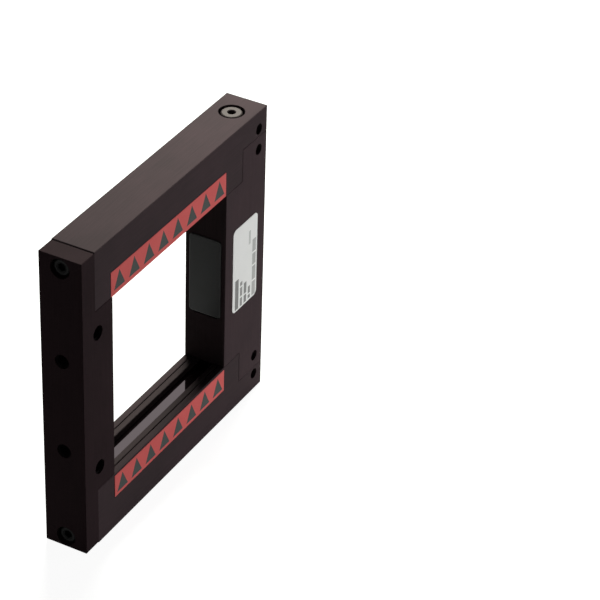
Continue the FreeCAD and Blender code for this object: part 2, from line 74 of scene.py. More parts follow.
def addNode(tree, kind, inputs=None, **settings):
    node = tree.nodes.new(kind)
    for name, value in settings.items():
        setattr(node, name, value)
    for socket, value in (inputs or {}).items():
        if isinstance(value, bpy.types.NodeSocket):
            tree.links.new(value, node.inputs[socket])
        else:
            node.inputs[socket].default_value = value
    return node


def startMaterial(name):
    material = bpy.data.materials.new(name)
    material.use_nodes = True
    material.node_tree.nodes.clear()
    place = addNode(material.node_tree, "ShaderNodeTexCoord").outputs["Object"]
    return material, material.node_tree, place


def closeMaterial(material, shader):
    addNode(material.node_tree, "ShaderNodeOutputMaterial", {"Surface": shader.outputs[0]})
    return material


mixFactor, mixFirst, mixSecond, mixResult = 0, 6, 7, 2    # colour sockets of the Mix node
softDetail, crispDetail = 2.0, 3.0    # of the noise textures
# Painted shade: faces under this attribute take a darker colour in the screw steels, standing in for the
# shade in the socket and on the rim
paintedShadeMark = "sunk"    # attribute of the faces below the top of a screw's head


# Materials, with grain and tool marks that are finer in reality: they are as coarse as they need to show

anodise = {
    "grainMm": 0.3, "lineMm": 0.5, "cloudMm": 22.0,
    "along": {"X": (0.03, 1, 1), "Z": (1, 1, 0.03)},    # stretch of the milling lines
    "mottle": (0.65, 1.35),    # lines and clouds added up, where the dye is darkest and palest
    "bump": 0.12, "reliefMm": 0.02, "roughness": (0.47, 0.63), "specular": 0.005,
}


# Hard anodised aluminium, milled then dyed black: a dull brown-black with faint lines along the cut
def anodisedAluminium(name, dark, pale, along):
    material, tree, place = startMaterial(name)
    grain = addNode(tree, "ShaderNodeTexNoise", {
        "Vector": place, "Scale": 1 / (anodise["grainMm"] * mm), "Detail": softDetail})
    stretched = addNode(tree, "ShaderNodeMapping", {
        "Vector": place, "Scale": anodise["along"][along]})
    lines = addNode(tree, "ShaderNodeTexNoise", {
        "Vector": stretched.outputs[0], "Scale": 1 / (anodise["lineMm"] * mm), "Detail": crispDetail})
    cloud = addNode(tree, "ShaderNodeTexNoise", {
        "Vector": place, "Scale": 1 / (anodise["cloudMm"] * mm), "Detail": crispDetail})
    both = addNode(tree, "ShaderNodeMath", {0: lines.outputs[0], 1: cloud.outputs[0]}, operation="ADD")
    mottle = addNode(tree, "ShaderNodeMapRange", {
        "Value": both.outputs[0], "From Min": anodise["mottle"][0], "From Max": anodise["mottle"][1]})
    color = addNode(tree, "ShaderNodeMix", {
        mixFactor: mottle.outputs[0], mixFirst: hexColor(dark), mixSecond: hexColor(pale)},
        data_type="RGBA")
    relief = addNode(tree, "ShaderNodeMath", {0: lines.outputs[0], 1: grain.outputs[0]}, operation="ADD")
    bump = addNode(tree, "ShaderNodeBump", {
        "Strength": anodise["bump"], "Distance": anodise["reliefMm"] * mm, "Height": relief.outputs[0]})
    rough = addNode(tree, "ShaderNodeMapRange", {
        "Value": grain.outputs[0], "To Min": anodise["roughness"][0], "To Max": anodise["roughness"][1]})
    shader = addNode(tree, "ShaderNodeBsdfPrincipled", {
        "Base Color": color.outputs[mixResult], "Roughness": rough.outputs[0],
        "Specular IOR Level": anodise["specular"], "Normal": bump.outputs[0]})
    return closeMaterial(material, shader)


smoked = {
    "hazeMm": 6.0, "dark": "#080506", "pale": "#0f090a", "roughness": (0.02, 0.06),
    "ior": 2.02, "tint": "#ffe9ee",    # of the hard coat
}


# Smoked polycarbonate with a hard coat, polished: black that mirrors the room a little purple
def smokedWindow():
    material, tree, place = startMaterial("smoked polycarbonate, polished")
    haze = addNode(tree, "ShaderNodeTexNoise", {
        "Vector": place, "Scale": 1 / (smoked["hazeMm"] * mm), "Detail": softDetail})
    color = addNode(tree, "ShaderNodeMix", {
        mixFactor: haze.outputs[0], mixFirst: hexColor(smoked["dark"]),
        mixSecond: hexColor(smoked["pale"])}, data_type="RGBA")
    rough = addNode(tree, "ShaderNodeMapRange", {
        "Value": haze.outputs[0], "To Min": smoked["roughness"][0], "To Max": smoked["roughness"][1]})
    shader = addNode(tree, "ShaderNodeBsdfPrincipled", {
        "Base Color": color.outputs[mixResult], "Roughness": rough.outputs[0], "IOR": smoked["ior"],
        "Specular Tint": hexColor(smoked["tint"])})
    return closeMaterial(material, shader)


moulded = {"grainMm": 0.25, "cloudMm": 9.0, "roughSpread": 0.07, "bump": 0.2, "reliefMm": 0.02}


# Moulded plastic: fine spark texture, a dull even sheen
def mouldedPlastic(name, dark, pale, roughness, specular=0.3):
    material, tree, place = startMaterial(name)
    grain = addNode(tree, "ShaderNodeTexNoise", {
        "Vector": place, "Scale": 1 / (moulded["grainMm"] * mm), "Detail": softDetail})
    cloud = addNode(tree, "ShaderNodeTexNoise", {
        "Vector": place, "Scale": 1 / (moulded["cloudMm"] * mm), "Detail": softDetail})
    color = addNode(tree, "ShaderNodeMix", {
        mixFactor: cloud.outputs[0], mixFirst: hexColor(dark), mixSecond: hexColor(pale)},
        data_type="RGBA")
    spread = moulded["roughSpread"]
    rough = addNode(tree, "ShaderNodeMapRange", {
        "Value": grain.outputs[0], "To Min": roughness - spread, "To Max": roughness + spread})
    bump = addNode(tree, "ShaderNodeBump", {
        "Strength": moulded["bump"], "Distance": moulded["reliefMm"] * mm, "Height": grain.outputs[0]})
    shader = addNode(tree, "ShaderNodeBsdfPrincipled", {
        "Base Color": color.outputs[mixResult], "Roughness": rough.outputs[0],
        "Specular IOR Level": specular, "Normal": bump.outputs[0]})
    return closeMaterial(material, shader)


turned = {"markMm": 0.25, "roughSpread": 0.08, "bump": 0.15, "reliefMm": 0.01}


# Plated or oxidised metal with fine tool marks: a soft broken gloss, and a painted shade in a darker
# colour on the sunk faces of a screw
def turnedMetal(name, dark, pale, roughness, metallic=1.0, specular=0.5, sunk="#2a2322"):
    material, tree, place = startMaterial(name)
    marks = addNode(tree, "ShaderNodeTexNoise", {
        "Vector": place, "Scale": 1 / (turned["markMm"] * mm), "Detail": crispDetail})
    color = addNode(tree, "ShaderNodeMix", {
        mixFactor: marks.outputs[0], mixFirst: hexColor(dark), mixSecond: hexColor(pale)},
        data_type="RGBA")
    # Painted shade: the faces under the attribute take the sunk colour
    inside = addNode(tree, "ShaderNodeAttribute", attribute_name=paintedShadeMark)
    shaded = addNode(tree, "ShaderNodeMix", {
        mixFactor: inside.outputs["Fac"], mixFirst: color.outputs[mixResult], mixSecond: hexColor(sunk)},
        data_type="RGBA")
    spread = turned["roughSpread"]
    rough = addNode(tree, "ShaderNodeMapRange", {
        "Value": marks.outputs[0], "To Min": roughness - spread, "To Max": roughness + spread})
    bump = addNode(tree, "ShaderNodeBump", {
        "Strength": turned["bump"], "Distance": turned["reliefMm"] * mm, "Height": marks.outputs[0]})
    shader = addNode(tree, "ShaderNodeBsdfPrincipled", {
        "Base Color": shaded.outputs[mixResult], "Metallic": metallic, "Roughness": rough.outputs[0],
        "Specular IOR Level": specular, "Normal": bump.outputs[0]})
    return closeMaterial(material, shader)


# Even bars of print, each given by its middle and its size in X and Z: the ink's density inside, 0 outside
def barMask(tree, place, bars):
    mask = 0.0
    for middle, (width, height), density in bars:
        reach = addNode(tree, "ShaderNodeMapping", {
            "Vector": place, "Location": middle, "Scale": (width / 2, 1, height / 2)},
            vector_type="TEXTURE")
        away = addNode(tree, "ShaderNodeVectorMath", {0: reach.outputs[0]}, operation="ABSOLUTE")
        parts = addNode(tree, "ShaderNodeSeparateXYZ", {0: away.outputs[0]})
        widest = addNode(tree, "ShaderNodeMath", {
            0: parts.outputs["X"], 1: parts.outputs["Z"]}, operation="MAXIMUM")
        inside = addNode(tree, "ShaderNodeMath", {0: widest.outputs[0], 1: 1.0}, operation="LESS_THAN")
        mask = addNode(tree, "ShaderNodeMath", {
            0: inside.outputs[0], 1: density, 2: mask}, operation="MULTIPLY_ADD").outputs[0]
    return mask


printed = {
    "gritMm": 0.4, "cloudMm": 14.0,
    "mottle": (0.6, 1.4),    # grit and clouds added up, where the print is darkest and palest
    "roughSpread": 0.06, "bump": 0.08, "reliefMm": 0.02,
}


# Printed polyester foil: flat colour with a slight ripple in the gloss, and bars of a second ink
def printedFoil(name, dark, pale, roughness, specular, bars=(), ink=None):
    material, tree, place = startMaterial(name)
    grit = addNode(tree, "ShaderNodeTexNoise", {
        "Vector": place, "Scale": 1 / (printed["gritMm"] * mm), "Detail": crispDetail})
    cloud = addNode(tree, "ShaderNodeTexNoise", {
        "Vector": place, "Scale": 1 / (printed["cloudMm"] * mm), "Detail": softDetail})
    both = addNode(tree, "ShaderNodeMath", {0: grit.outputs[0], 1: cloud.outputs[0]}, operation="ADD")
    mottle = addNode(tree, "ShaderNodeMapRange", {
        "Value": both.outputs[0], "From Min": printed["mottle"][0], "From Max": printed["mottle"][1]})
    color = addNode(tree, "ShaderNodeMix", {
        mixFactor: mottle.outputs[0], mixFirst: hexColor(dark), mixSecond: hexColor(pale)},
        data_type="RGBA")
    if bars:
        color = addNode(tree, "ShaderNodeMix", {
            mixFactor: barMask(tree, place, bars), mixFirst: color.outputs[mixResult],
            mixSecond: hexColor(ink)}, data_type="RGBA")
    spread = printed["roughSpread"]
    rough = addNode(tree, "ShaderNodeMapRange", {
        "Value": grit.outputs[0], "To Min": roughness - spread, "To Max": roughness + spread})
    bump = addNode(tree, "ShaderNodeBump", {
        "Strength": printed["bump"], "Distance": printed["reliefMm"] * mm, "Height": cloud.outputs[0]})
    shader = addNode(tree, "ShaderNodeBsdfPrincipled", {
        "Base Color": color.outputs[mixResult], "Roughness": rough.outputs[0],
        "Specular IOR Level": specular, "Normal": bump.outputs[0]})
    return closeMaterial(material, shader)


# White label on the right column, in mm, with rows of plain bars
label = {
    "low": (40.67, 47.0), "high": (59.17, 85.4), "corner": 2.2, "thickness": 0.15,
    "barColor": "#2a2a2a",
    "rows": [    # from the lower left corner: left edge, width, density, then each bar's start and end
        (1.9, 2.7, 0.95, [(0.7, 14.5)]),
        (5.7, 1.8, 0.8, [(0.7, 4.6), (5.3, 9.5), (10.1, 12.0)]),
        (8.7, 2.0, 0.9, [(0.7, 4.2), (4.9, 10.0)]),
        (11.9, 1.7, 0.88, [(0.9, 2.6), (3.3, 6.6)]),
        (14.9, 2.6, 0.6, [(0.7, 7.2), (8.0, 14.4), (15.2, 20.4), (21.2, 27.0)]),
        (12.0, 1.4, 0.43, [(26.2, 32.4)]),
    ],
}


def labelBars():
    bars = []
    for left, width, density, spans in label["rows"]:
        for start, end in spans:
            across = label["low"][0] + left + width / 2
            up = label["low"][1] + (start + end) / 2
            middle = (across * mm, 0, up * mm)
            bars.append((middle, (width * mm, (end - start) * mm), density))
    return bars


beamAnodise = anodisedAluminium("black anodised aluminium, milled along X", "#3b3335", "#45393c", "X")
columnAnodise = anodisedAluminium("black anodised aluminium, milled along Z", "#3e3437", "#483b3e", "Z")
leftAnodise = anodisedAluminium("black anodised aluminium, darker batch", "#271e20", "#302427", "Z")
# Painted shade: the tapped threads are made darker than the column so that the holes read black
threadShadeAnodise = anodisedAluminium("black anodised aluminium, tapped, darkened as painted shade", "#0d0a0b", "#130f10", "Z")
carrierAnodise = anodisedAluminium("black anodised aluminium, extruded", "#393233", "#42383a", "X")
windowPlastic = smokedWindow()
coverPlastic = mouldedPlastic("dark polyamide, moulded", "#1b1b1b", "#242424", 0.42, 0.125)
# Painted highlight: the cover's rim is much lighter than its face, standing in for light caught on the rim
rimHighlightPlastic = mouldedPlastic("dark polyamide, rim with painted highlight", "#404040", "#4a4a4a", 0.5, 0.12)
insertPlastic = mouldedPlastic("black polyamide, moulded", "#161616", "#1f1f1f", 0.5)
headerPlastic = mouldedPlastic("ivory polyamide, moulded", "#cfc7b0", "#ddd6c2", 0.5)
sealRubber = mouldedPlastic("black nitrile rubber", "#101010", "#181818", 0.7, 0.2)
leadPlastic = mouldedPlastic("grey ribbon insulation", "#8a8c8e", "#9a9c9e", 0.5)
boardResist = mouldedPlastic("green solder resist", "#0d3b22", "#15502f", 0.35, 0.4)
chipEpoxy = mouldedPlastic("black moulding epoxy", "#141414", "#1c1c1c", 0.6)
ledEpoxy = mouldedPlastic("clear emitter resin", "#b9a98c", "#c9bb9f", 0.2, 0.5)
diodeEpoxy = mouldedPlastic("dark daylight filter resin", "#1b0d10", "#2a1519", 0.25, 0.5)
# Each screw steel's last colour is the painted shade for its socket and rim; the zinc one takes the
# default
zincSteel = turnedMetal("steel, zinc plated, dull", "#3f3938", "#494241", 0.65, 0.4, 0.1)
blackSteel = turnedMetal("steel, black oxide", "#232323", "#2c2c2c", 0.6, 0.0, 0.04, "#050505")
nickelBrass = turnedMetal("brass, nickel plated", "#b9b5aa", "#cfccc2", 0.3)
goldContact = turnedMetal("copper alloy, gold plated", "#c79a3c", "#dcb355", 0.25)
redFoil = printedFoil("polyester foil, printed red", "#d76261", "#e26c6a", 0.5, 0.02)
greyInk = printedFoil("polyester foil, printed grey", "#4c5150", "#565a58", 0.5, 0.02)
whiteLabel = printedFoil(
    "polyester label, white", "#e6e6e5", "#eeeeed", 0.4, 0.5, labelBars(), label["barColor"])

finishes = {
    "left_column": leftAnodise, "right_column": columnAnodise,
    "bottom_beam": beamAnodise, "top_beam": beamAnodise,
    "bottom_optics_carrier": carrierAnodise, "top_optics_carrier": carrierAnodise,
    "bottom_window": windowPlastic, "top_window": windowPlastic,
    "emitter_board": boardResist, "receiver_board": boardResist, "control_board": boardResist,
    "emitter_leds": ledEpoxy, "receiver_diodes": diodeEpoxy, "controller_chip": chipEpoxy,
    "lead_headers": headerPlastic, "emitter_lead": leadPlastic, "receiver_lead": leadPlastic,
    "service_cover": coverPlastic, "cover_gasket": sealRubber,
    "connector_sleeve": nickelBrass, "connector_seal": sealRubber,
    "connector_insert": insertPlastic, "connector_pins": goldContact,
    "end_screws": blackSteel, "corner_screws": zincSteel,
    "top_arrow_strip": redFoil, "bottom_arrow_strip": redFoil, "arrow_marks": greyInk,
    "rating_label": whiteLabel,
}
for name, material in finishes.items():
    nodes[name].data.materials.clear()
    nodes[name].data.materials.append(material)
print("materials:", len(set(finishes.values())), "finishes on", len(finishes), "nodes")


# Pieces that repeat, each grown by a node tree with its sizes as named inputs

# Turns of a shape that was made along Z
quarter = math.radians(90)
facingUp, facingDown = (0, 0, 0), (2 * quarter, 0, 0)
facingLeft, alongX = (0, -quarter, 0), (0, quarter, 0)
facingFront, alongY = (quarter, 0, 0), (-quarter, 0, 0)

placeInputs = {
    "Copies": "Int", "First Place": "Vector", "Last Place": "Vector",
    "First Turn": "Vector", "Last Turn": "Vector", "Material": "Material",
}


def startTree(name, sizes):
    tree = bpy.data.node_groups.new(name, "GeometryNodeTree")
    for title, kind in {**dict.fromkeys(sizes, "Float"), **placeInputs}.items():
        tree.interface.new_socket(name=title, in_out="INPUT", socket_type="NodeSocket" + kind)
    tree.interface.new_socket(name="Mesh", in_out="OUTPUT", socket_type="NodeSocketGeometry")
    return tree, addNode(tree, "NodeGroupInput").outputs


# One or two copies of the shape, each at its place, made real and given their finish
def closeTree(tree, sizes, shape):
    ends = addNode(tree, "GeometryNodeMeshLine", {
        "Count": sizes["Copies"], "Start Location": sizes["First Place"],
        "Offset": sizes["Last Place"]}, mode="END_POINTS")
    index = addNode(tree, "GeometryNodeInputIndex")
    turn = addNode(tree, "GeometryNodeIndexSwitch", {
        "Index": index.outputs[0], "0": sizes["First Turn"], "1": sizes["Last Turn"]}, data_type="VECTOR")
    copies = addNode(tree, "GeometryNodeInstanceOnPoints", {
        "Points": ends.outputs[0], "Instance": shape, "Rotation": turn.outputs[0]})
    real = addNode(tree, "GeometryNodeRealizeInstances", {"Geometry": copies.outputs[0]})
    finish = addNode(tree, "GeometryNodeSetMaterial", {
        "Geometry": real.outputs[0], "Material": sizes["Material"]})
    addNode(tree, "NodeGroupOutput", {0: finish.outputs[0]})
    return tree


mergeReach = 0.001 * mm          # points nearer than this become one
sharpFrom = math.radians(35)     # edges that turn more than this stay sharp


# Closed mesh facing outwards, riding on the frame
def finishPiece(piece, replaced=None):
    mesh = piece.data
    shell = bmesh.new()
    shell.from_mesh(mesh)
    bmesh.ops.remove_doubles(shell, verts=shell.verts, dist=mergeReach)
    bmesh.ops.recalc_face_normals(shell, faces=shell.faces)
    shell.to_mesh(mesh)
    shell.free()
    mesh.shade_smooth()
    mesh.set_sharp_from_angle(angle=sharpFrom)
    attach(piece, "root")
    if replaced:
        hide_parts(replaced)
    print(piece.name, "made:", len(mesh.polygons), "faces")


# Plain mesh from the tree
def growPiece(name, tree, values, replaced=None):
    piece = bpy.data.objects.new(name, bpy.data.meshes.new(name + "Seed"))
    bpy.context.collection.objects.link(piece)
    modifier = piece.modifiers.new("grow", "NODES")
    modifier.node_group = tree
    for item in tree.interface.items_tree:
        if item.in_out == "INPUT":
            modifier[item.identifier] = values[item.name]
    graph = bpy.context.evaluated_depsgraph_get()
    mesh = bpy.data.meshes.new_from_object(piece.evaluated_get(graph))
    piece.modifiers.remove(modifier)
    piece.data = mesh
    mesh.name = name
    finishPiece(piece, replaced)


lathe = {
    "core": 0.05 * mm,    # radius of the ring that a profile is carried round
    "sides": 64, "roundSteps": 4,
}


# Carries a profile of (radius, height) corners round Z, with all but its end corners rounded
def spin(tree, corners, rounding, closed=False):
    index = addNode(tree, "GeometryNodeInputIndex")
    pick = addNode(tree, "GeometryNodeIndexSwitch", {"Index": index.outputs[0]}, data_type="VECTOR")
    while len(pick.index_switch_items) < len(corners):
        pick.index_switch_items.new()
    for number, (radius, height) in enumerate(corners):
        corner = addNode(tree, "ShaderNodeCombineXYZ", {"X": radius, "Y": height})
        tree.links.new(corner.outputs[0], pick.inputs[str(number)])
    points = addNode(tree, "GeometryNodeMeshLine", {"Count": len(corners)})
    profile = addNode(tree, "GeometryNodeSetPosition", {
        "Geometry": points.outputs[0], "Position": pick.outputs[0]})
    line = addNode(tree, "GeometryNodeMeshToCurve", {0: profile.outputs[0]})
    outline = addNode(tree, "GeometryNodeSetSplineCyclic", {0: line.outputs[0], "Cyclic": closed})
    softened = addNode(tree, "GeometryNodeFilletCurve", {
        "Curve": outline.outputs[0], "Count": lathe["roundSteps"], "Radius": rounding,
        "Limit Radius": True}, mode="POLY")
    shifted = addNode(tree, "GeometryNodeTransform", {
        "Geometry": softened.outputs[0], "Translation": (-lathe["core"], 0, 0), "Scale": (1, -1, 1)})
    ring = addNode(tree, "GeometryNodeCurvePrimitiveCircle", {
        "Resolution": lathe["sides"], "Radius": lathe["core"]})
    upright = addNode(tree, "GeometryNodeSetCurveNormal", {"Curve": ring.outputs[0]}, mode="Z_UP")
    swept = addNode(tree, "GeometryNodeCurveToMesh", {
        "Curve": upright.outputs[0], "Profile Curve": shifted.outputs[0]})
    return addNode(tree, "GeometryNodeMergeByDistance", {
        "Geometry": swept.outputs[0], "Distance": mergeReach}).outputs[0]


ridge = {
    "stepsPerTurn": 32,
    "section": ((0.1, -0.44), (-1.0, -0.08), (-1.0, 0.08), (0.1, 0.44)),    # heights out, pitches along
}


# Thread ridge wound round Z: a positive ridge grows into a hole, a negative one out of a stud
def addRidge(tree, sizes):
    turns = addNode(tree, "ShaderNodeMath", {
        0: sizes["Thread Length"], 1: sizes["Pitch"]}, operation="DIVIDE").outputs[0]
    helix = addNode(tree, "GeometryNodeCurveSpiral", {
        "Resolution": ridge["stepsPerTurn"], "Rotations": turns,
        "Start Radius": sizes["Thread Radius"], "End Radius": sizes["Thread Radius"],
        "Height": sizes["Thread Length"], "Reverse": True})
    upright = addNode(tree, "GeometryNodeSetCurveNormal", {"Curve": helix.outputs[0]}, mode="Z_UP")
    corners = {}
    for point, (out, along) in enumerate(ridge["section"], 1):
        across = addNode(tree, "ShaderNodeMath", {0: sizes["Ridge"], 1: out}, operation="MULTIPLY")
        up = addNode(tree, "ShaderNodeMath", {0: sizes["Pitch"], 1: along}, operation="MULTIPLY")
        corner = addNode(tree, "ShaderNodeCombineXYZ", {"X": across.outputs[0], "Y": up.outputs[0]})
        corners["Point " + str(point)] = corner.outputs[0]
    section = addNode(tree, "GeometryNodeCurvePrimitiveQuadrilateral", corners, mode="POINTS")
    return addNode(tree, "GeometryNodeCurveToMesh", {
        "Curve": upright.outputs[0], "Profile Curve": section.outputs[0], "Fill Caps": True}).outputs[0]


threadSizes = ["Thread Radius", "Ridge", "Pitch", "Thread Length"]
screwSocket = {
    "mouthDeep": 0.1,           # depth of the countersink, in widths across the flats
    "mouthSides": 48,
    # faces below this height take the painted shade of socket and rim
    "paintedShadeFrom": -0.002 * mm,    # height below which a face counts as sunk
}


# Socket screw from the top of its head down: rounded rim, hexagon socket with a countersunk mouth, thread
def socketScrewTree():
    tree, sizes = startTree("socket screw", [
        "Head Radius", "Head Height", "Rim Round", "Socket Flats", "Socket Depth", "Mouth Radius",
        "Shank Length", "Runout"] + threadSizes)
    seat = addNode(tree, "ShaderNodeMath", {
        0: sizes["Head Height"], 1: -1.0}, operation="MULTIPLY").outputs[0]
    tip = addNode(tree, "ShaderNodeMath", {
        0: seat, 1: sizes["Shank Length"]}, operation="SUBTRACT").outputs[0]
    body = spin(tree, [
        (0.0, 0.0), (sizes["Head Radius"], 0.0), (sizes["Head Radius"], seat),
        (sizes["Thread Radius"], seat), (sizes["Thread Radius"], tip), (0.0, tip)], sizes["Rim Round"])
    # The hexagon and the cone that cut the socket reach as far above the head as below it
    across = addNode(tree, "ShaderNodeMath", {
        0: sizes["Socket Flats"], 1: 1 / math.sqrt(3)}, operation="MULTIPLY").outputs[0]
    deep = addNode(tree, "ShaderNodeMath", {
        0: sizes["Socket Depth"], 1: 2.0}, operation="MULTIPLY").outputs[0]
    hexagon = addNode(tree, "GeometryNodeMeshCylinder", {"Vertices": 6, "Radius": across, "Depth": deep})
    mouth = addNode(tree, "ShaderNodeMath", {
        0: sizes["Socket Flats"], 1: screwSocket["mouthDeep"]}, operation="MULTIPLY").outputs[0]
    narrow = addNode(tree, "ShaderNodeMath", {
        0: sizes["Socket Flats"], 1: 0.5}, operation="MULTIPLY").outputs[0]
    twice = addNode(tree, "ShaderNodeMath", {
        0: sizes["Mouth Radius"], 1: 2.0}, operation="MULTIPLY").outputs[0]
    wide = addNode(tree, "ShaderNodeMath", {0: twice, 1: narrow}, operation="SUBTRACT").outputs[0]
    height = addNode(tree, "ShaderNodeMath", {0: mouth, 1: 2.0}, operation="MULTIPLY").outputs[0]
    cone = addNode(tree, "GeometryNodeMeshCone", {
        "Vertices": screwSocket["mouthSides"], "Radius Top": wide, "Radius Bottom": narrow,
        "Depth": height})
    drop = addNode(tree, "ShaderNodeMath", {0: mouth, 1: -1.0}, operation="MULTIPLY").outputs[0]
    lower = addNode(tree, "ShaderNodeCombineXYZ", {"Z": drop})
    sunk = addNode(tree, "GeometryNodeTransform", {
        "Geometry": cone.outputs[0], "Translation": lower.outputs[0]})
    hollow = addNode(tree, "GeometryNodeMeshBoolean", {
        "Mesh 1": body, "Mesh 2": hexagon.outputs[0]}, operation="DIFFERENCE", solver="EXACT")
    opened = addNode(tree, "GeometryNodeMeshBoolean", {
        "Mesh 1": hollow.outputs[0], "Mesh 2": sunk.outputs[0]}, operation="DIFFERENCE", solver="EXACT")
    start = addNode(tree, "ShaderNodeMath", {0: tip, 1: sizes["Runout"]}, operation="ADD")
    lifted = addNode(tree, "ShaderNodeCombineXYZ", {"Z": start.outputs[0]})
    thread = addNode(tree, "GeometryNodeTransform", {
        "Geometry": addRidge(tree, sizes), "Translation": lifted.outputs[0]})
    whole = addNode(tree, "GeometryNodeJoinGeometry", {0: thread.outputs[0]})
    tree.links.new(opened.outputs[0], whole.inputs[0])
    # Faces below the head's top get the attribute for the painted shade of socket and rim
    place = addNode(tree, "GeometryNodeInputPosition")
    parts = addNode(tree, "ShaderNodeSeparateXYZ", {0: place.outputs[0]})
    below = addNode(tree, "ShaderNodeMath", {
        0: parts.outputs["Z"], 1: screwSocket["paintedShadeFrom"]}, operation="LESS_THAN")
    paintedShadeMarked = addNode(tree, "GeometryNodeStoreNamedAttribute", {
        "Geometry": whole.outputs[0], "Name": paintedShadeMark, "Value": below.outputs[0]},
        data_type="FLOAT", domain="FACE")
    return closeTree(tree, sizes, paintedShadeMarked.outputs[0])


def threadTree():
    tree, sizes = startTree("tapped thread", threadSizes)
    return closeTree(tree, sizes, addRidge(tree, sizes))


def placed(places, turns, material):
    return {
        "Copies": len(places), "First Place": places[0], "Last Place": places[-1],
        "First Turn": turns[0], "Last Turn": turns[-1], "Material": material,
    }


screwTree = socketScrewTree()

# Sizes in mm: M4 cylinder heads in the left end, M5 low heads in the lapped corners
endScrew = {
    "headRadius": 3.5, "headHeight": 4.0, "rim": 0.6, "flats": 3.0, "socket": 2.0, "mouth": 2.2,
    "core": 1.6, "ridge": 0.4, "pitch": 0.7, "length": 16.0,
}
cornerScrew = {
    "headRadius": 4.25, "headHeight": 3.5, "rim": 0.6, "flats": 3.0, "socket": 2.0, "mouth": 1.8,
    "core": 2.05, "ridge": 0.45, "pitch": 0.8, "length": 16.0,
}


def growScrews(name, sizes, places, turns, material, replaced):
    values = {
        "Head Radius": sizes["headRadius"] * mm, "Head Height": sizes["headHeight"] * mm,
        "Rim Round": sizes["rim"] * mm, "Socket Flats": sizes["flats"] * mm,
        "Socket Depth": sizes["socket"] * mm, "Mouth Radius": sizes["mouth"] * mm,
        "Shank Length": sizes["length"] * mm, "Runout": sizes["pitch"] * mm,
        "Thread Radius": sizes["core"] * mm, "Ridge": -sizes["ridge"] * mm, "Pitch": sizes["pitch"] * mm,
        "Thread Length": (sizes["length"] - 2 * sizes["pitch"]) * mm,
    }
    growPiece(name, screwTree, {**values, **placed(places, turns, material)}, replaced)


low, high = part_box("end_screws")
inset = endScrew["headRadius"] * mm
growScrews(
    "endScrews", endScrew, [(low[0], 0, low[2] + inset), (low[0], 0, high[2] - inset)],
    [facingLeft] * 2, blackSteel, "end_screws")

low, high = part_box("corner_screws")
across = (low[0] + high[0]) / 2
growScrews(
    "cornerScrews", cornerScrew, [(across, 0, low[2]), (across, 0, high[2])],
    [facingDown, facingUp], zincSteel, "corner_screws")

# M6 thread in the four mounting holes of the left column, in mm, in a darker anodise that paints the shade
# in the holes
tapped = {"pitch": 1.0, "ridge": 0.5, "leadIn": 0.9, "frontLength": 16.2, "endLength": 12.0}
tappedTree = threadTree()


def growThread(name, mountName, turn, length):
    mount = mounts[mountName]
    middle = Vector(mount["pos_m"]) - Vector(mount["axis"]) * tapped["leadIn"] * mm
    apart = Vector((0, 0, mount["dims"]["spacing_y_mm"] / 2 * mm))
    values = {
        "Thread Radius": mount["dims"]["hole_r_mm"] * mm, "Ridge": tapped["ridge"] * mm,
        "Pitch": tapped["pitch"] * mm, "Thread Length": length * mm,
    }
    values.update(placed([middle - apart, middle + apart], [turn], threadShadeAnodise))
    growPiece(name, tappedTree, values)


growThread("frontHoleThreads", "left_front_holes", alongY, tapped["frontLength"])
growThread("endHoleThreads", "left_end_holes", alongX, tapped["endLength"])

# Plug sleeve with its M8 x 1 thread, and the contacts in it, both along X, in mm from the inner end
plugSleeve = {
    "bore": 3.25, "neck": 4.45, "flange": 6.15, "flangeFrom": 3.8, "flangeTo": 4.8,
    "core": 3.55, "ridge": 0.45, "pitch": 1.0, "threadFrom": 5.6, "threadLength": 5.4, "rim": 0.12,
}
plugPins = {"count": 3, "circle": 1.75, "radius": 0.5, "tip": 0.3, "firstDegrees": 30.0}


def plugSleeveTree():
    tree, sizes = startTree("plug sleeve", [
        "Bore", "Neck", "Flange", "Flange From", "Flange To", "Length", "Rim Round",
        "Thread From"] + threadSizes)
    body = spin(tree, [
        (sizes["Bore"], 0.0), (sizes["Neck"], 0.0), (sizes["Neck"], sizes["Flange From"]),
        (sizes["Flange"], sizes["Flange From"]), (sizes["Flange"], sizes["Flange To"]),
        (sizes["Thread Radius"], sizes["Flange To"]), (sizes["Thread Radius"], sizes["Length"]),
        (sizes["Bore"], sizes["Length"])], sizes["Rim Round"], closed=True)
    lifted = addNode(tree, "ShaderNodeCombineXYZ", {"Z": sizes["Thread From"]})
    thread = addNode(tree, "GeometryNodeTransform", {
        "Geometry": addRidge(tree, sizes), "Translation": lifted.outputs[0]})
    whole = addNode(tree, "GeometryNodeJoinGeometry", {0: thread.outputs[0]})
    tree.links.new(body, whole.inputs[0])
    return closeTree(tree, sizes, whole.outputs[0])


def plugPinsTree():
    tree, sizes = startTree("plug contacts", ["Circle", "Radius", "Length", "Tip Round"])
    pin = spin(tree, [
        (0.0, 0.0), (sizes["Radius"], 0.0), (sizes["Radius"], sizes["Length"]), (0.0, sizes["Length"])],
        sizes["Tip Round"])
    circle = addNode(tree, "GeometryNodeMeshCircle", {
        "Vertices": plugPins["count"], "Radius": sizes["Circle"]})
    rotated = addNode(tree, "GeometryNodeTransform", {
        "Geometry": circle.outputs[0], "Rotation": (0, 0, math.radians(plugPins["firstDegrees"]))})
    pins = addNode(tree, "GeometryNodeInstanceOnPoints", {"Points": rotated.outputs[0], "Instance": pin})
    return closeTree(tree, sizes, pins.outputs[0])


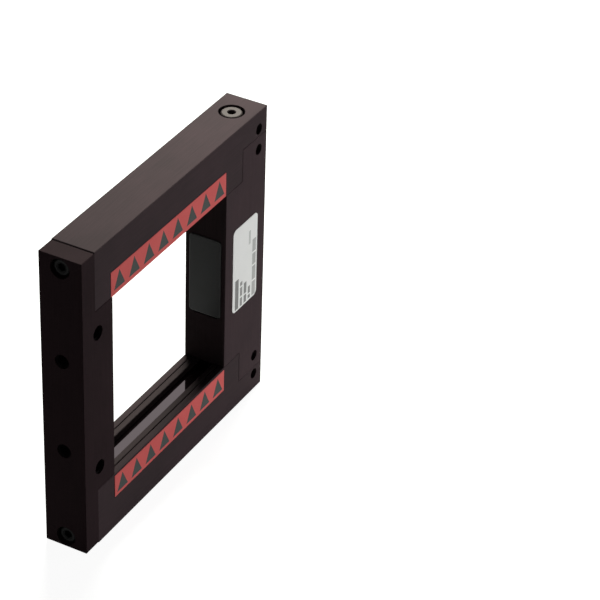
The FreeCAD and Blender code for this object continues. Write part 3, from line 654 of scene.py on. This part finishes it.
low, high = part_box("connector_sleeve")
plugAxis = Vector((low[0], (low[1] + high[1]) / 2, (low[2] + high[2]) / 2))
growPiece("plugSleeve", plugSleeveTree(), {
    "Bore": plugSleeve["bore"] * mm, "Neck": plugSleeve["neck"] * mm, "Flange": plugSleeve["flange"] * mm,
    "Flange From": plugSleeve["flangeFrom"] * mm, "Flange To": plugSleeve["flangeTo"] * mm,
    "Length": high[0] - low[0], "Rim Round": plugSleeve["rim"] * mm,
    "Thread From": plugSleeve["threadFrom"] * mm, "Thread Length": plugSleeve["threadLength"] * mm,
    "Thread Radius": plugSleeve["core"] * mm, "Ridge": -plugSleeve["ridge"] * mm,
    "Pitch": plugSleeve["pitch"] * mm,
    **placed([plugAxis], [alongX], nickelBrass),
}, "connector_sleeve")

low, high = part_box("connector_pins")
growPiece("plugPins", plugPinsTree(), {
    "Circle": plugPins["circle"] * mm, "Radius": plugPins["radius"] * mm, "Length": high[0] - low[0],
    "Tip Round": plugPins["tip"] * mm,
    **placed([Vector((low[0], plugAxis.y, plugAxis.z))], [alongX], goldContact),
}, "connector_pins")

# Foils on the front face, in mm: red strips, their arrows in ink that stands a little proud, and the label
foil = {
    "thickness": 0.14, "corner": 0.3, "cornerSteps": 8,
    # From the lower left corner of each CAD strip to the foil's
    "shift": {"bottom_arrow_strip": (-0.15, 0.4), "top_arrow_strip": (-0.55, -0.15)},
}
arrows = {    # from the lower left corner of each CAD strip to the middle of the first arrow's foot
    "count": 8, "pitch": 10.0, "width": 7.3, "height": 7.3, "ink": 0.02, "first": 5.08, "foot": 1.7,
}


# Sheet cut to a rectangle with rounded corners
def foilTree():
    tree, sizes = startTree("cut foil", ["Width", "Height", "Corner", "Thickness"])
    outline = addNode(tree, "GeometryNodeCurvePrimitiveQuadrilateral", {
        "Width": sizes["Width"], "Height": sizes["Height"]}, mode="RECTANGLE")
    softened = addNode(tree, "GeometryNodeFilletCurve", {
        "Curve": outline.outputs[0], "Count": foil["cornerSteps"], "Radius": sizes["Corner"],
        "Limit Radius": True}, mode="POLY")
    back = addNode(tree, "GeometryNodeFillCurve", {"Curve": softened.outputs[0]}, mode="NGONS")
    raised = addNode(tree, "GeometryNodeExtrudeMesh", {
        "Mesh": back.outputs[0], "Offset Scale": sizes["Thickness"], "Individual": False}, mode="FACES")
    closed = addNode(tree, "GeometryNodeFlipFaces", {"Mesh": back.outputs[0]})
    whole = addNode(tree, "GeometryNodeJoinGeometry", {0: raised.outputs[0]})
    tree.links.new(closed.outputs[0], whole.inputs[0])
    return closeTree(tree, sizes, whole.outputs[0])


# Row of upright triangles, scaled from a prism of radius 1, which is 1.5 high and the root of 3 wide
def arrowTree():
    tree, sizes = startTree("printed arrows", ["Width", "Height", "Thickness", "Pitch", "Arrows"])
    prism = addNode(tree, "GeometryNodeMeshCylinder", {"Vertices": 3, "Radius": 1.0, "Depth": 1.0})
    tall = addNode(tree, "ShaderNodeMath", {0: sizes["Height"], 1: 1.5}, operation="DIVIDE")
    wide = addNode(tree, "ShaderNodeMath", {0: sizes["Width"], 1: math.sqrt(3)}, operation="DIVIDE")
    third = addNode(tree, "ShaderNodeMath", {0: sizes["Height"], 1: 3.0}, operation="DIVIDE")
    size = addNode(tree, "ShaderNodeCombineXYZ", {
        "X": tall.outputs[0], "Y": wide.outputs[0], "Z": sizes["Thickness"]})
    lifted = addNode(tree, "ShaderNodeCombineXYZ", {"Y": third.outputs[0]})
    arrow = addNode(tree, "GeometryNodeTransform", {
        "Geometry": prism.outputs[0], "Translation": lifted.outputs[0],
        "Rotation": (0, 0, quarter), "Scale": size.outputs[0]})
    step = addNode(tree, "ShaderNodeCombineXYZ", {"X": sizes["Pitch"]})
    row = addNode(tree, "GeometryNodeMeshLine", {"Count": sizes["Arrows"], "Offset": step.outputs[0]})
    copies = addNode(tree, "GeometryNodeInstanceOnPoints", {
        "Points": row.outputs[0], "Instance": arrow.outputs[0]})
    return closeTree(tree, sizes, copies.outputs[0])


cutTree = foilTree()
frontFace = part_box("right_column")[0][1]


def growFoil(name, low, high, corner, thickness, material, slot, replaced):
    middle = (low[0] + high[0]) / 2, frontFace, (low[1] + high[1]) / 2
    growPiece(name, cutTree, {
        "Width": high[0] - low[0], "Height": high[1] - low[1],
        "Corner": corner * mm, "Thickness": thickness * mm,
        **placed([middle], [facingFront], material)}, replaced)


feet = []
for name, replaced in (("bottomArrowStrip", "bottom_arrow_strip"), ("topArrowStrip", "top_arrow_strip")):
    low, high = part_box(replaced)
    across, up = foil["shift"][replaced]
    corner = low[0] + across * mm, low[2] + up * mm
    growFoil(
        name, corner, (high[0], high[2]), foil["corner"], foil["thickness"], redFoil, "red_foil", replaced)
    feet.append((
        low[0] + arrows["first"] * mm, low[1] + arrows["ink"] / 2 * mm, low[2] + arrows["foot"] * mm))
growPiece("arrowMarks", arrowTree(), {
    "Width": arrows["width"] * mm, "Height": arrows["height"] * mm, "Thickness": arrows["ink"] * mm,
    "Pitch": arrows["pitch"] * mm, "Arrows": arrows["count"],
    **placed(feet, [facingFront] * 2, greyInk)}, "arrow_marks")
corners = [tuple(side * mm for side in label[end]) for end in ("low", "high")]
growFoil("ratingLabel", *corners, label["corner"], label["thickness"], whiteLabel, "label", "rating_label")

# Service cover, in mm: a lid with a rounded rim in a lighter colour that paints its highlight, proud of
# its seat, and a hollow spigot behind it
cover = {
    "corner": 1.4, "rimAcross": 0.5, "rimDeep": 0.35, "rimSteps": 4, "proud": 0.5, "flange": 1.2,
    "rise": 0.6,    # how far the lid sits above the middle of its seat
    "seatCorner": 2.0, "spigot": (10.7, 31.7), "spigotCorner": 1.0, "wall": 1.0, "cornerSteps": 8,
}


# One loop of the cover: a rectangle in Y and Z with rounded corners
def coverLoop(shell, depth, low, high, inset, corner):
    loop = []
    steps = cover["cornerSteps"]
    for number, (across, up) in enumerate(((1, 1), (-1, 1), (-1, -1), (1, -1))):
        y = (high[0] if across > 0 else low[0]) - across * (inset + corner)
        z = (high[1] if up > 0 else low[1]) - up * (inset + corner)
        for step in range(steps + 1):
            angle = math.radians(90 * (number + step / steps))
            place = depth, y + corner * math.cos(angle), z + corner * math.sin(angle)
            loop.append(shell.verts.new(Vector(place) * mm))
    return loop


def growCover():
    low, high = (Vector(corner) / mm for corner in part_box("service_cover"))
    seatLow, seatHigh = (low.y, low.z + cover["rise"]), (high.y, high.z)
    lidHigh = high.y, high.z + cover["rise"]
    middle = (low + high) / 2
    wide, tall = (side / 2 for side in cover["spigot"])
    spigotLow, spigotHigh = (middle.y - wide, middle.z - tall), (middle.y + wide, middle.z + tall)
    face, back = low.x + cover["proud"], low.x + cover["flange"]
    # Loops from the lid's face to the floor of the spigot: depth, corners, inset and corner radius
    levels = []
    for step in range(cover["rimSteps"] + 1):
        angle = math.radians(90 * step / cover["rimSteps"])
        inset = cover["rimAcross"] * (1 - math.sin(angle))
        depth = low.x + cover["rimDeep"] * (1 - math.cos(angle))
        levels.append((depth, seatLow, lidHigh, inset, cover["corner"] - inset))
    levels.append((face, seatLow, lidHigh, 0, cover["corner"]))
    levels += [(depth, seatLow, seatHigh, 0, cover["seatCorner"]) for depth in (face, back)]
    for wall, ends in ((0, (back, high.x)), (cover["wall"], (high.x, back))):
        levels += [(depth, spigotLow, spigotHigh, wall, cover["spigotCorner"]) for depth in ends]
    shell = bmesh.new()
    loops = [coverLoop(shell, *level) for level in levels]
    for number, (first, second) in enumerate(zip(loops, loops[1:])):
        for i in range(len(first)):
            side = shell.faces.new((first[i - 1], first[i], second[i], second[i - 1]))
            # the rim faces take the lighter finish, a painted highlight
            side.material_index = int(number < cover["rimSteps"])    # the rim takes the second finish
    shell.faces.new(loops[0])
    shell.faces.new(loops[-1])
    mesh = bpy.data.meshes.new("serviceCover")
    shell.to_mesh(mesh)
    shell.free()
    mesh.materials.append(coverPlastic)
    mesh.materials.append(rimHighlightPlastic)
    piece = bpy.data.objects.new("serviceCover", mesh)
    bpy.context.collection.objects.link(piece)
    finishPiece(piece, "service_cover")


growCover()


# Camera, floor and light

view = {    # place in metres
    "eye": Vector((-0.734793, -0.454542, 0.659251)),
    "forward": Vector((0.730340, 0.391347, -0.559867)),
    "rollDegrees": 1.960,
    "lensMm": 165.93,
    "sensorMm": 36.0,
    "clipStart": 0.01,
}
cameraData = bpy.data.cameras.new("camera")
cameraData.lens = view["lensMm"]
cameraData.sensor_width = view["sensorMm"]
cameraData.clip_start = view["clipStart"]
camera = bpy.data.objects.new("camera", cameraData)
bpy.context.collection.objects.link(camera)
turn = view["forward"].to_track_quat("-Z", "Y")
roll = Quaternion((0, 0, 1), math.radians(view["rollDegrees"]))
camera.matrix_world = Matrix.Translation(view["eye"]) @ (turn @ roll).to_matrix().to_4x4()
bpy.context.scene.camera = camera

studio = {                     # lengths in metres
    "floorSize": 8.0,
    "white": 1.0,              # of the background and of the floor far away
    "floorForLight": 0.22,     # how much the floor sends back to the object
    "floorGlow": 0.94,         # what the lens sees of it in the deepest shadow
    "paper": "#909090",        # colour that the lamps add to that
    "fade": (0.45, 0.7),       # distances between which the floor turns as white as the background
    "ambient": 0.012,          # faint light on the object from all round
    "lamps": {                 # place, size across, level at the object and colour
        "softbox behind right": ((0.28, 0.122, 0.451), 0.24, 2.28, "#f9fff3"),
        "fill from front right": ((0.6, -0.67, 0.02), 0.1, 0.8, "#ffffff"),
        "low fill from left": ((-1.2, 0.0, 0.3), 0.06, 0.085, "#ffffff"),
    },
}


# 1 for what the lens sees, also mirrored or through glass, and 0 for what lights the object
def cameraSide(tree):
    path = addNode(tree, "ShaderNodeLightPath")
    seen = addNode(tree, "ShaderNodeMath", {
        0: path.outputs["Is Camera Ray"], 1: path.outputs["Is Glossy Ray"]}, operation="ADD")
    return addNode(tree, "ShaderNodeMath", {
        0: seen.outputs[0], 1: path.outputs["Is Transmission Ray"]}, operation="ADD", use_clamp=True)


# White paper, matt: for the lens it glows, so that only the shadow tells it from the background
def paleFloor():
    material, tree, place = startMaterial("paper floor, matt white")
    away = addNode(tree, "ShaderNodeVectorMath", {0: place}, operation="LENGTH")
    near, far = studio["fade"]
    fade = addNode(tree, "ShaderNodeMapRange", {
        "Value": away.outputs["Value"], "From Min": near, "From Max": far,
        "To Min": studio["floorGlow"], "To Max": studio["white"]})
    glow = addNode(tree, "ShaderNodeEmission", {"Strength": fade.outputs[0]})
    paper = addNode(tree, "ShaderNodeBsdfDiffuse", {"Color": hexColor(studio["paper"])})
    seen = addNode(tree, "ShaderNodeAddShader", {0: glow.outputs[0], 1: paper.outputs[0]})
    level = studio["floorForLight"]
    plain = addNode(tree, "ShaderNodeBsdfDiffuse", {"Color": (level, level, level, 1)})
    mix = addNode(tree, "ShaderNodeMixShader", {
        0: cameraSide(tree).outputs[0], 1: plain.outputs[0], 2: seen.outputs[0]})
    return closeMaterial(material, mix)


floorMesh = bpy.data.meshes.new("floor")
half = studio["floorSize"] / 2
corners = [(-half, -half, 0), (half, -half, 0), (half, half, 0), (-half, half, 0)]
floorMesh.from_pydata(corners, [], [(0, 1, 2, 3)])
floor = bpy.data.objects.new("floor", floorMesh)
bpy.context.collection.objects.link(floor)
floorMesh.materials.append(paleFloor())

world = bpy.data.worlds.new("studio")
bpy.context.scene.world = world
world.use_nodes = True
worldTree = world.node_tree
worldTree.nodes.clear()
white = addNode(worldTree, "ShaderNodeBackground", {"Color": (1, 1, 1, 1), "Strength": studio["white"]})
dim = addNode(worldTree, "ShaderNodeBackground", {"Color": (1, 1, 1, 1), "Strength": studio["ambient"]})
sky = addNode(worldTree, "ShaderNodeMixShader", {
    0: cameraSide(worldTree).outputs[0], 1: dim.outputs[0], 2: white.outputs[0]})
addNode(worldTree, "ShaderNodeOutputWorld", {"Surface": sky.outputs[0]})

objectMiddle = Vector(cadBox[0]).lerp(Vector(cadBox[1]), 0.5)


def addLamp(name, place, size, level, tint):
    lampData = bpy.data.lights.new(name, "AREA")
    lampData.shape = "DISK"
    lampData.size = size
    lampData.color = hexColor(tint)[:3]
    reach = Vector(place) - objectMiddle
    lampData.energy = level * math.pi ** 2 * reach.length_squared    # level 1 shows a colour as written
    lamp = bpy.data.objects.new(name, lampData)
    bpy.context.collection.objects.link(lamp)
    turn = reach.to_track_quat("Z", "Y").to_matrix().to_4x4()
    lamp.matrix_world = Matrix.Translation(Vector(place)) @ turn


for name, lamp in studio["lamps"].items():
    addLamp(name, *lamp)
bpy.context.scene.view_settings.view_transform = "Standard"
print("camera, floor and light set")
